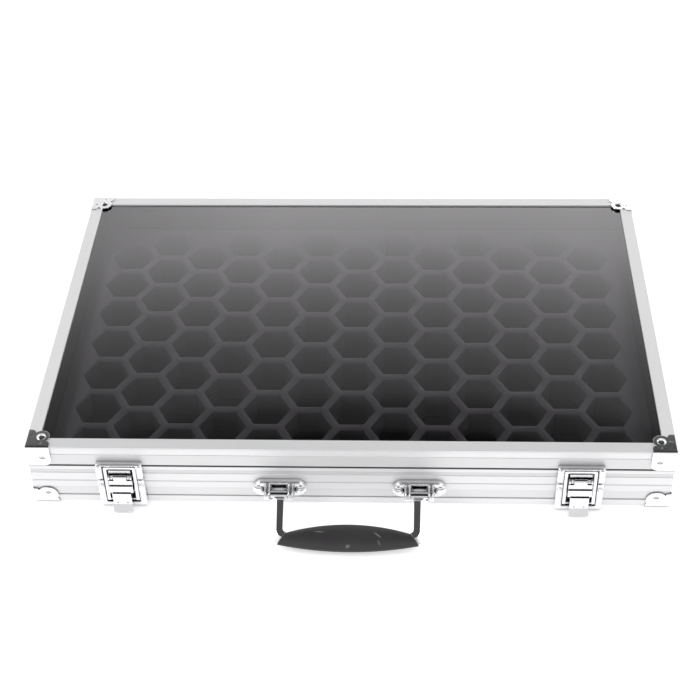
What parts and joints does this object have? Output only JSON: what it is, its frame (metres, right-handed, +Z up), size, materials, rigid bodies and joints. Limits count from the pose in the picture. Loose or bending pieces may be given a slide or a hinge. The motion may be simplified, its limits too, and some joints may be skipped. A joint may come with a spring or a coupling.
{
  "type": "dice storage box",
  "caption": "Shallow aluminium-framed storage case for dice: hinged lid with a dark clear window over foam with six-sided wells, draw latches, metal corner protectors and a folding handle.",
  "frame": {"origin": "point on the ground under the middle of the closed case, without its handle", "axes": "+X to the right along the front, +Y from the front face to the hinge side, +Z up"},
  "size_m": [0.4242, 0.3271, 0.0528],
  "materials": {
    "aluminium_frame": "satin anodised extrusion",
    "chrome_fittings": "bright plated",
    "handle_chrome": "bright plated casting",
    "rivets": "bright plated domed heads",
    "pins": "plain steel pin",
    "window": "smoked clear acrylic, glossy",
    "gasket": "black sealing strip",
    "foam": "black closed-cell foam",
    "bottom_panel": "black textured sheet",
    "key_plastic": "moulded corner keys",
    "black_plastic": "moulded corner blocks",
    "grip_plastic": "satin dark grey moulding with light scuffs"
  },
  "bodies": {
    "base": {"base_corner_front_left": "chrome_fittings", "base_corner_front_right": "chrome_fittings", "base_corner_keys": "key_plastic", "base_corner_rear_left": "chrome_fittings", "base_corner_rear_right": "chrome_fittings", "base_corner_rivets": "rivets", "base_panel": "bottom_panel", "base_rail_front": "aluminium_frame", "base_rail_left": "aluminium_frame", "base_rail_rear": "aluminium_frame", "base_rail_right": "aluminium_frame", "foam_insert": "foam", "foam_pad": "foam", "handle_bracket_left": "chrome_fittings", "handle_bracket_right": "chrome_fittings", "handle_pins": "pins", "handle_rivets": "rivets", "hinge_base_leaves": "chrome_fittings", "hinge_base_rivets": "rivets", "hinge_pins": "pins", "latch_base_left": "chrome_fittings", "latch_base_right": "chrome_fittings", "latch_base_rivets": "rivets", "latch_pins": "pins"},
    "lid": {"hinge_lid_leaves": "chrome_fittings", "hinge_lid_rivets": "rivets", "keeper_left": "chrome_fittings", "keeper_right": "chrome_fittings", "keeper_rivets": "rivets", "lid_corner_blocks": "black_plastic", "lid_corner_front_left": "chrome_fittings", "lid_corner_front_right": "chrome_fittings", "lid_corner_keys": "key_plastic", "lid_corner_rear_left": "chrome_fittings", "lid_corner_rear_right": "chrome_fittings", "lid_corner_rivets": "rivets", "lid_gasket": "gasket", "lid_rail_front": "aluminium_frame", "lid_rail_left": "aluminium_frame", "lid_rail_rear": "aluminium_frame", "lid_rail_right": "aluminium_frame", "lid_window": "window"},
    "lever_left": {"latch_lever_left": "chrome_fittings"},
    "lever_right": {"latch_lever_right": "chrome_fittings"},
    "bail_left": {"latch_bail_left": "chrome_fittings"},
    "bail_right": {"latch_bail_right": "chrome_fittings"},
    "handle": {"handle_frame": "handle_chrome", "handle_grip_upper": "grip_plastic", "handle_grip_lower": "grip_plastic"}
  },
  "joints": [
    {"name": "lid_hinge", "type": "hinge", "parent": "base", "child": "lid", "pos_m": [0, 0.1405, 0.03465], "axis": [-1, 0, 0], "range_deg": [0, 105]},
    {"name": "handle_swing", "type": "hinge", "parent": "base", "child": "handle", "pos_m": [0, -0.1465, 0.018], "axis": [-1, 0, 0], "range_deg": [0, 110]},
    {"name": "latch_lever_left", "type": "hinge", "parent": "base", "child": "lever_left", "pos_m": [-0.15, -0.1409, 0.0275], "axis": [-1, 0, 0], "range_deg": [0, 140]},
    {"name": "latch_bail_left", "type": "hinge", "parent": "lever_left", "child": "bail_left", "pos_m": [-0.15, -0.1408, 0.007], "axis": [-1, 0, 0], "range_deg": [-182, 0]},
    {"name": "latch_lever_right", "type": "hinge", "parent": "base", "child": "lever_right", "pos_m": [0.15, -0.1409, 0.0275], "axis": [-1, 0, 0], "range_deg": [0, 140]},
    {"name": "latch_bail_right", "type": "hinge", "parent": "lever_right", "child": "bail_right", "pos_m": [0.15, -0.1408, 0.007], "axis": [-1, 0, 0], "range_deg": [-182, 0]}
  ],
  "couplings": [
    {"joint": "latch_bail_left", "follows": "latch_lever_left", "ratio": -1.3},
    {"joint": "latch_bail_right", "follows": "latch_lever_right", "ratio": -1.3}
  ]
}
